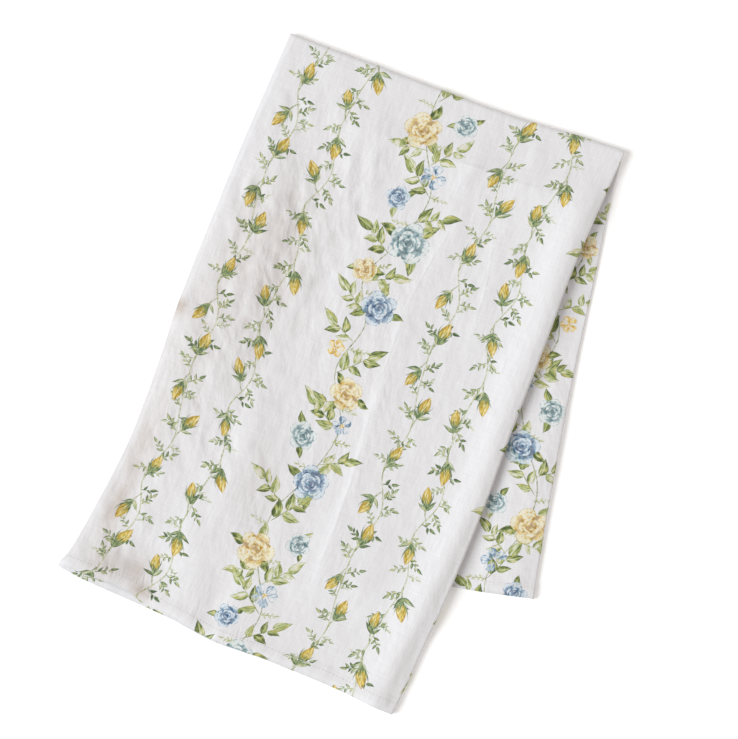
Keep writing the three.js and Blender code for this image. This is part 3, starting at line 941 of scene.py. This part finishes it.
class Shade:  # a value in a material's nodes, so that the lines below read as plain formulas
    def __init__(self, socket):
        self.socket = socket

    def __add__(self, other):
        return calc("ADD", self, other)

    def __sub__(self, other):
        return calc("SUBTRACT", self, other)

    def __rsub__(self, other):
        return calc("SUBTRACT", other, self)

    def __mul__(self, other):
        return calc("MULTIPLY", self, other)

    def __truediv__(self, other):
        return calc("DIVIDE", self, other)

    def __mod__(self, other):
        return calc("MODULO", self, other)

    def __pow__(self, other):
        return calc("POWER", self, other)

    def __gt__(self, other):
        return calc("GREATER_THAN", self, other)

    def __lt__(self, other):
        return calc("LESS_THAN", self, other)

    def __abs__(self):
        return calc("ABSOLUTE", self)


def plug(value, socket):
    if isinstance(value, Shade):
        socket.id_data.links.new(value.socket, socket)
    else:
        socket.default_value = value


def addNode(kind, given, output=0, tree=None, **settings):  # in the tree of what it is given
    if tree is None:
        tree = next(value.socket.id_data for value in given.values() if isinstance(value, Shade))
    node = tree.nodes.new("ShaderNode" + kind)
    for name, value in settings.items():
        setattr(node, name, value)
    for name, value in given.items():
        plug(value, node.inputs[name])
    return Shade(node.outputs[output])


def calc(operation, *values):
    return addNode("Math", dict(enumerate(values)), operation=operation)


def sine(value):
    return calc("SINE", value)


def vectorCalc(operation, *values):
    output = "Value" if operation in ("DISTANCE", "DOT_PRODUCT", "LENGTH") else "Vector"
    return addNode("VectorMath", dict(enumerate(values)), output, operation=operation)


def ramped(value, low, high, toLow=0.0, toHigh=1.0, smooth=True):
    given = {"Value": value, "From Min": low, "From Max": high, "To Min": toLow, "To Max": toHigh}
    return addNode("MapRange", given, interpolation_type="SMOOTHSTEP" if smooth else "LINEAR")


def mixed(share, a, b):
    return addNode("Mix", {"Factor": share, "A": a, "B": b}, "Result", data_type="RGBA")


def colours(value, stops, interpolation="LINEAR"):
    result = addNode("ValToRGB", {"Fac": value})
    ramp = result.socket.node.color_ramp
    ramp.interpolation = interpolation
    while len(ramp.elements) < len(stops):
        ramp.elements.new(1)
    for element, (place, colour) in zip(ramp.elements, stops):
        element.position, element.color = place, (*colour, 1)
    return result


def grain(vector, scale, detail=2.0, stretch=(1, 1, 1)):  # noise from 0 to 1
    place = addNode("Mapping", {"Vector": vector, "Scale": stretch})
    return addNode("TexNoise", {"Vector": place, "Scale": scale, "Detail": detail})


def combined(x, y):
    return addNode("CombineXYZ", {"X": x, "Y": y})


def separated(vector):
    return [Shade(part) for part in addNode("SeparateXYZ", {0: vector}).socket.node.outputs]


def attribute(tree, name, output):
    return addNode("Attribute", {}, output, tree, attribute_name=name)


def shapeGroup(name):  # a node group that draws one shape over what is under it
    group = bpy.data.node_groups.new(name, "ShaderNodeTree")
    for label, kind in (("Under", "Color"), ("Place", "Vector"), ("Wobble", "Float"), ("Pigment", "Float")):
        group.interface.new_socket(name=label, in_out="INPUT", socket_type="NodeSocket" + kind)
    group.interface.new_socket(name="Colour", in_out="OUTPUT", socket_type="NodeSocketColor")
    start, end = group.nodes.new("NodeGroupInput"), group.nodes.new("NodeGroupOutput")
    given = {socket.name: Shade(socket) for socket in start.outputs if socket.name}
    return group, given, separated(given["Place"]), end.inputs["Colour"]


printColours = {  # from the darkest to the lightest stroke
    "vineGreen": [(0, (0.07, 0.11, 0.06)), (0.3, (0.17, 0.235, 0.115)), (0.6, (0.33, 0.40, 0.21)),
                  (0.85, (0.48, 0.54, 0.34)), (1, (0.60, 0.63, 0.49))],
    "garlandGreen": [(0, (0.07, 0.10, 0.035)), (0.3, (0.19, 0.235, 0.08)), (0.6, (0.37, 0.42, 0.165)),
                     (0.85, (0.52, 0.55, 0.29)), (1, (0.62, 0.63, 0.47))],
    "bluePetal": [(0, (0.06, 0.12, 0.19)), (0.35, (0.19, 0.29, 0.39)), (0.7, (0.46, 0.55, 0.62)),
                  (1, (0.69, 0.725, 0.75))],
    "goldPetal": [(0, (0.42, 0.24, 0.04)), (0.4, (0.66, 0.45, 0.11)), (0.75, (0.75, 0.62, 0.28)),
                  (1, (0.78, 0.73, 0.54))],
    "bud": [(0, (0.30, 0.19, 0.04)), (0.3, (0.49, 0.335, 0.065)), (0.6, (0.64, 0.485, 0.115)),
            (0.85, (0.70, 0.595, 0.25)), (1, (0.73, 0.69, 0.49))],
}

leafLook = {
    "vary": {"bend": 41.0, "curl": 23.0, "lit": 67.0},  # these turn a leaf's third value into its own form
    "bend": 0.42,
    "curl": 0.15,
    "outline": (0.7, 1.5),  # low for a round base, high for a slender tip
    "width": 0.88,
    "ragged": 0.32,
    "strokes": {"stretch": (4.6, 1.5, 7), "depth": 1.9},
    "washes": {"stretch": (1, 1, 11), "depth": 1.3},
    "pigmentDepth": 0.45,
    "midrib": 0.22,
    "halves": (-0.15, 0.13),  # one half lies in shade and the other is lit
    "rim": (-0.25, 0.04),
    "sunny": (0.54, 0.48, 0.14, 1),
    "sunnyShare": 0.55,
}


def leafGroup():  # x across, y from the base (-1) to the tip (1), third value palette and tone
    look, vary = leafLook, leafLook["vary"]
    group, given, (x, y, third), result = shapeGroup("printedLeaf")
    x = x - sine(third * vary["bend"]) * look["bend"] * (y * y - 0.35)
    x = x - sine(third * vary["curl"]) * look["curl"] * sine(y * 2.6)
    across = abs(x)
    half = (y + 1.0) ** look["outline"][0] * (1.0 - y) ** look["outline"][1]
    inside = half * look["width"] - across + given["Wobble"] * look["ragged"]
    strokes = grain(given["Place"], 1.0, 3.0, look["strokes"]["stretch"]) - 0.5
    washes = grain(given["Place"], 0.9, 1.0, look["washes"]["stretch"]) - 0.5
    shade = third % 2.0 + ramped(across, 0.02, 0.12, look["midrib"], 0.0)
    shade = shade + ramped(x * calc("SIGN", sine(third * vary["lit"])), -0.12, 0.12, *look["halves"])
    shade = shade + (given["Pigment"] - 0.5) * look["pigmentDepth"]
    shade = shade + strokes * look["strokes"]["depth"] + washes * look["washes"]["depth"]
    shade = shade + ramped(inside, 0.04, 0.3, *look["rim"])
    colour = colours(shade, printColours["vineGreen"])
    for name in ("garlandGreen", "bluePetal", "goldPetal"):
        colour = mixed(third > palettes[name], colour, colours(shade, printColours[name]))
    sunny = ramped(washes, 0.03, 0.14, 0.0, look["sunnyShare"]) * (third < palettes["bluePetal"])
    colour = mixed(sunny * ramped(shade, 0.2, 0.5), colour, look["sunny"])
    washed = ramped(inside, 0.0, 0.15) * ramped(shade, 0.6, 1.15, 1.0, 0.3)
    plug(mixed(washed, given["Under"], colour), result)
    return group


def stemGroup():  # x millimetres from the middle, y half the width, third value tone
    group, given, (x, y, third), result = shapeGroup("printedStem")
    away, pigment = abs(x), given["Pigment"]
    inside = y - away + given["Wobble"] * 0.5
    rim = ramped(away / calc("MAXIMUM", y, 0.05), 0.3, 1.0, 0.18, -0.3)
    shade = third + rim + (pigment - 0.5) * 1.2
    washed = ramped(inside, -0.1, 0.16) * ramped(pigment, 0.3, 0.62, 1.0, 0.55)
    plug(mixed(washed, given["Under"], colours(shade, printColours["garlandGreen"])), result)
    return group


budLook = {
    "vary": 37.0,
    "bend": 0.13,
    "outline": (0.58, 0.95),
    "width": 0.74,
    "ragged": 0.07,
    "streaks": {"stretch": (26, 5, 3), "onPetals": 2.3, "onGreen": 2.2},
    "lit": {"side": 0.22, "from": 0.85, "to": 0.35},  # lightest a little right of its middle
    "seam": {"slope": 0.34, "start": -0.24, "depth": -0.35},  # where one petal wraps over the other
    "rim": -0.35,
    "shadow": (0.23, 0.235, 0.06, 1),  # the petals' green foot
    "cup": {"middle": 0.06, "size": (0.11, 0.16)},
    "green": (0.27, 0.12),  # tone of the calyx, and how much it varies
    "sepals": [  # slope, bend, reach and width of each one's middle line
        (-0.98, 0.8, 0.86, 0.078),
        (0.8, -0.35, 0.68, 0.085),
        (-1.45, 0.2, 0.36, 0.055),
        (0.12, 0.1, 0.52, 0.08),
    ],
}


def budGroup():  # x across, y from the calyx (0) to the tip (1), both in bud lengths
    look, lit, seam, cup = budLook, budLook["lit"], budLook["seam"], budLook["cup"]
    group, given, (x, y, third), result = shapeGroup("printedBud")
    streaks = grain(given["Place"], 1.0, 3.0, look["streaks"]["stretch"])
    x = x - sine(third * look["vary"]) * look["bend"] * (y * y)
    body = ramped(y, 0.05, 1.0, smooth=False)
    half = body ** look["outline"][0] * (1.0 - body) ** look["outline"][1] * look["width"]
    away = abs(x)
    inside = half - away + given["Wobble"] * look["ragged"]
    fromLit = abs(x / calc("MAXIMUM", half, 0.02) - lit["side"])
    light = ramped(fromLit, 0.0, 0.75, lit["from"], lit["to"]) + (streaks - 0.5) * look["streaks"]["onPetals"]
    fromSeam = abs(x + (y * seam["slope"] + seam["start"]))
    light = light + ramped(fromSeam, 0.008, 0.04, seam["depth"], 0.0)
    light = light + ramped(inside, 0.0, 0.07, look["rim"], 0.0)
    shadow = ramped(y, 0.15, 0.75, 1.0, 0.0) * ramped(streaks, 0.4, 0.62, 0.9, 0.1)
    petals = mixed(shadow, colours(light, printColours["bud"]), look["shadow"])
    colour = mixed(ramped(inside, 0.0, 0.05), given["Under"], petals)
    fromCup = (away / cup["size"][0]) ** 2.0 + ((y - cup["middle"]) / cup["size"][1]) ** 2.0
    green = ramped(calc("SQRT", fromCup), 0.82, 1.02, 1.0, 0.0)
    for slope, bend, reach, width in look["sepals"]:
        middle = y * (y * bend + slope)
        depth = (1.0 - y / reach) * width - abs(x - middle) + given["Wobble"] * (look["ragged"] / 2)
        green = calc("MAXIMUM", green, ramped(depth, -0.008, 0.03) * (y > -0.03))
    tone = (streaks - 0.5) * look["streaks"]["onGreen"] + look["green"][0] + third * look["green"][1]
    plug(mixed(green, colour, colours(tone, printColours["vineGreen"])), result)
    return group


roseLook = {
    # rings of petals, from the outermost in: how many, distance from the middle, radius, turn
    "rings": [(5, 0.54, 0.46, 0.0), (4, 0.35, 0.38, 0.7), (4, 0.2, 0.28, 0.1), (3, 0.09, 0.18, 0.8)],
    "uneven": 0.13,
    "seed": 5,
    "strokes": {"fineness": 8.5, "depth": 1.35},
    "patches": 2.1,
    # colours of the three kinds: cream, teal and blue
    "pale": [(0, (0.75, 0.715, 0.54)), (0.33, (0.68, 0.72, 0.715)), (0.66, (0.60, 0.67, 0.725))],
    "mid": [(0, (0.66, 0.48, 0.14)), (0.33, (0.26, 0.39, 0.41)), (0.66, (0.165, 0.295, 0.42))],
    "deep": [(0, (0.38, 0.225, 0.045)), (0.33, (0.07, 0.15, 0.165)), (0.66, (0.03, 0.075, 0.165))],
}


def roseGroup():  # x and y from the middle in radii, third value kind
    group, given, (x, y, third), result = shapeGroup("printedRose")
    kind = third / len(roseKinds)
    pale, mid, deep = (colours(kind, roseLook[name], "CONSTANT") for name in ("pale", "mid", "deep"))
    strokes = grain(given["Place"], roseLook["strokes"]["fineness"], 3.0) - 0.5
    cover = ramped(grain(given["Place"], roseLook["patches"], 1.0), 0.38, 0.6, 0.32, 0.95)
    broken = ramped(strokes, -0.12, 0.04, 0.1, 1.0)
    rough = strokes * roseLook["strokes"]["depth"]
    flat = combined(x, y)
    dice = random.Random(roseLook["seed"])
    colour = given["Under"]
    for ring, (count, away, radius, turn) in enumerate(roseLook["rings"]):
        for k in range(count):
            uneven = [1 + dice.uniform(-1, 1) * roseLook["uneven"] for _ in range(3)]
            angle = turn + 2 * math.pi * (k + uneven[0]) / count
            middle, reach = away * uneven[1], radius * uneven[2]
            facing = (math.sin(angle), math.cos(angle), 0)
            centre = tuple(part * middle for part in facing)
            edge = reach - vectorCalc("DISTANCE", flat, centre) + strokes * (0.2 * radius + 0.06)
            outward = vectorCalc("DOT_PRODUCT", flat, facing)
            foot = ramped(outward, middle - 0.1 * reach, middle + 0.75 * reach, 0.95 + 0.12 * ring, 0.0)
            rim = ramped(edge, 0.01, 0.075, 0.86, 0.0)
            dark = calc("MAXIMUM", foot * cover, rim * broken) + rough
            petal = mixed(ramped(dark, 0.08, 0.4), pale, mid)
            petal = mixed(ramped(dark, 0.42, 0.8), petal, deep)
            colour = mixed(ramped(edge, 0.0, 0.05), colour, petal)
    washed = ramped(given["Pigment"], 0.3, 0.6, 1.0, 0.75)
    plug(mixed(washed, given["Under"], colour), result)
    return group


def weave(uv):  # how high the threads stand, from 0 to 1
    fine, long = linenLook["slub"]
    warp, weft = (grain(uv, 1.0, 2.0, stretch) for stretch in ((fine, long, 1), (long, fine, 1)))
    across, along = (sine(side * (2 * math.pi / linenLook["thread"])) for side in separated(uv)[:2])
    return (warp * 0.6 + weft * 0.4) * 0.7 + (across * along * 0.3 + 0.5) * 0.3


def crinkles(tree, uv):  # their height in metres
    stray = (grain(uv, 34, 1.0) - 0.5) * linenLook["wander"] + separated(uv)[1] * linenLook["slant"]
    bent = vectorCalc("ADD", uv, combined(stray, 0.0))
    broad, fine = (grain(bent, 1.0, 1.0, (*scale, 1)) for scale in linenLook["crinkles"])
    height = broad * linenLook["crinkleDepth"][0] + fine * linenLook["crinkleDepth"][1]
    return height * attribute(tree, "crinkle", "Fac")


def seamMarks(uv):  # 1 in a needle hole, and 1 along the seam
    p, q = (side * (1 / mm) for side in separated(uv)[:2])
    fromSeam = calc("PINGPONG", q, towel["length"] / 2) - hemSeam["fromEnd"]
    fromHole = (calc("FRACT", p / hemSeam["pitch"]) - 0.5) * hemSeam["pitch"]
    away = vectorCalc("LENGTH", combined(fromHole, fromSeam))
    return ramped(away, 0.1, 0.5, 1.0, 0.0), ramped(abs(fromSeam), 0.3, 1.8, 1.0, 0.0)


def newMaterial(name, roughness, sheen=0.0):
    material = bpy.data.materials.new(name)
    material.use_nodes = True
    shader = material.node_tree.nodes["Principled BSDF"].inputs
    shader["Roughness"].default_value = roughness
    shader["Sheen Weight"].default_value = sheen
    return material, material.node_tree, shader


def clothMaterial(name, groups, strength):
    material, tree, shader = newMaterial(name, 0.92, 0.1)
    shader["Specular IOR Level"].default_value = 0.25
    uv = addNode("UVMap", {}, 0, tree, uv_map="threads")
    wobble = grain(uv, linenLook["wobble"]) - 0.5
    pigment = grain(uv, linenLook["pigment"], 3.0)
    threadHeight = weave(uv)
    bare = mixed(ramped(threadHeight, 0.33, 0.67), *linenLook["cloth"])
    colour = bare
    for kind in ("stem", "leaf", "bud", "rose"):
        for k in range(printLayers[kind]):
            given = {"Under": colour, "Place": attribute(tree, f"{kind}{k}", "Vector"),
                     "Wobble": wobble, "Pigment": pigment}
            colour = addNode("Group", given, "Colour", node_tree=groups[kind])
    if strength < 1:
        colour = mixed(strength, bare, colour)
    # painted warm shade in the hollows and on the front, with two small brown spots, multiplied into the
    # colour
    patches = linenLook["shadePatches"]
    uneven = ramped(grain(uv, 1.0, 2.0, patches["stretch"]), 0.36, 0.64, *patches["share"])
    paintedShade = attribute(tree, "paintedShade", "Fac") * uneven
    colour = vectorCalc("MULTIPLY", colour, mixed(paintedShade, (1, 1, 1, 1), linenLook["paintedShadeColour"]))
    # needle holes painted darker, partly as painted shade in them
    hole, seam = seamMarks(uv)
    plug(mixed(hole * linenLook["holeShadeShare"], colour, linenLook["needleHoleShade"]), shader["Base Color"])
    height = threadHeight * linenLook["weaveDepth"] + crinkles(tree, uv)
    height = height - hole * linenLook["holeDepth"] - seam * (linenLook["holeDepth"] / 2)
    off, halfWidth, rise = separated(attribute(tree, "crease0", "Vector"))
    height = height + ramped(abs(off), 0.0, halfWidth, mm, 0.0) * rise
    plug(addNode("Bump", {"Distance": 1.0, "Height": height}), shader["Normal"])
    return material


def threadMaterial():
    material, tree, shader = newMaterial("sewingThread", 0.7, 0.15)
    fibres = grain(addNode("TexCoord", {}, "Object", tree), threadLook["fineness"])
    plug(mixed(fibres, *threadLook["colour"]), shader["Base Color"])
    plug(addNode("Bump", {"Distance": threadLook["depth"], "Height": fibres}), shader["Normal"])
    return material


groups = {"stem": stemGroup(), "leaf": leafGroup(), "bud": budGroup(), "rose": roseGroup()}
cloth.data.materials.append(clothMaterial("printedLinen", groups, 1))
cloth.data.materials.append(clothMaterial("linenReverse", groups, linenLook["through"]))
stitches.data.materials.append(threadMaterial())
print("cloth printed")

# Floor, light and camera.

studio = {
    "pixel": 0.7,  # millimetres of cloth in one pixel of the 738 x 739 picture
    "picture": (738, 739),
    "hemCorner": (58, 564),  # pixel of the front hem's left corner
    "roll": math.radians(23.9),
    "distance": 1.6,
    "sky": {"strength": 0.49, "colour": (1, 0.965, 0.935)},
    "paper": {"size": 8, "colour": (0.93, 0.93, 0.93, 1), "roughness": 0.95, "glow": 0.12},
    "lights": {  # side is in degrees round from +X, height above the floor, and angle is how soft it is
        "window": {"strength": 2.8, "side": 212, "height": 39, "angle": 38, "colour": (0.955, 0.985, 1)},
        "bounce": {"strength": 0.72, "side": 36, "height": 20, "angle": 70, "colour": (1, 0.9, 0.82)},
    },
}


def pixelToPlace(x, y):
    dx, dy = x - studio["hemCorner"][0], y - studio["hemCorner"][1]
    c, s = math.cos(studio["roll"]), math.sin(studio["roll"])
    layoutX, layoutY = studio["pixel"] * (dx * c + dy * s), studio["pixel"] * (dx * s - dy * c)
    return (layoutX - folded["layoutMiddle"][0]) * mm, (layoutY - folded["layoutMiddle"][1]) * mm


def makeCamera():
    width, height = studio["picture"]
    centre = pixelToPlace(width / 2, height / 2)
    data = bpy.data.cameras.new("camera")
    camera = bpy.data.objects.new("camera", data)
    bpy.context.scene.collection.objects.link(camera)
    camera.location = (*centre, studio["distance"])
    camera.rotation_euler = (0, 0, studio["roll"])
    data.sensor_width = 36
    data.lens = data.sensor_width * studio["distance"] / (max(width, height) * studio["pixel"] * mm)
    bpy.context.scene.camera = camera


def makeFloor():
    look = studio["paper"]
    bpy.ops.object.select_all(action="DESELECT")
    bpy.ops.mesh.primitive_plane_add(size=look["size"])
    floor = bpy.context.object
    floor.name = "floor"
    paper, _, shader = newMaterial("palePaper", look["roughness"])
    shader["Base Color"].default_value = look["colour"]
    shader["Emission Color"].default_value = (1, 1, 1, 1)
    shader["Emission Strength"].default_value = look["glow"]  # keeps the shadow on the paper faint
    floor.data.materials.append(paper)


def makeLight():
    world = bpy.data.worlds.new("studio")
    world.use_nodes = True
    sky = world.node_tree.nodes["Background"].inputs
    sky["Color"].default_value = (*studio["sky"]["colour"], 1)
    sky["Strength"].default_value = studio["sky"]["strength"]
    bpy.context.scene.world = world
    for name, given in studio["lights"].items():
        data = bpy.data.lights.new(name, "SUN")
        data.energy, data.angle, data.color = given["strength"], math.radians(given["angle"]), given["colour"]
        light = bpy.data.objects.new(name, data)
        bpy.context.scene.collection.objects.link(light)
        side, height = math.radians(given["side"]), math.radians(given["height"])
        aim = Vector((math.cos(side) * math.cos(height), math.sin(side) * math.cos(height), math.sin(height)))
        light.location = aim
        light.rotation_euler = aim.to_track_quat("Z", "Y").to_euler()


makeCamera()
makeFloor()
makeLight()
bpy.context.scene.view_settings.view_transform = "Standard"
print("studio ready")
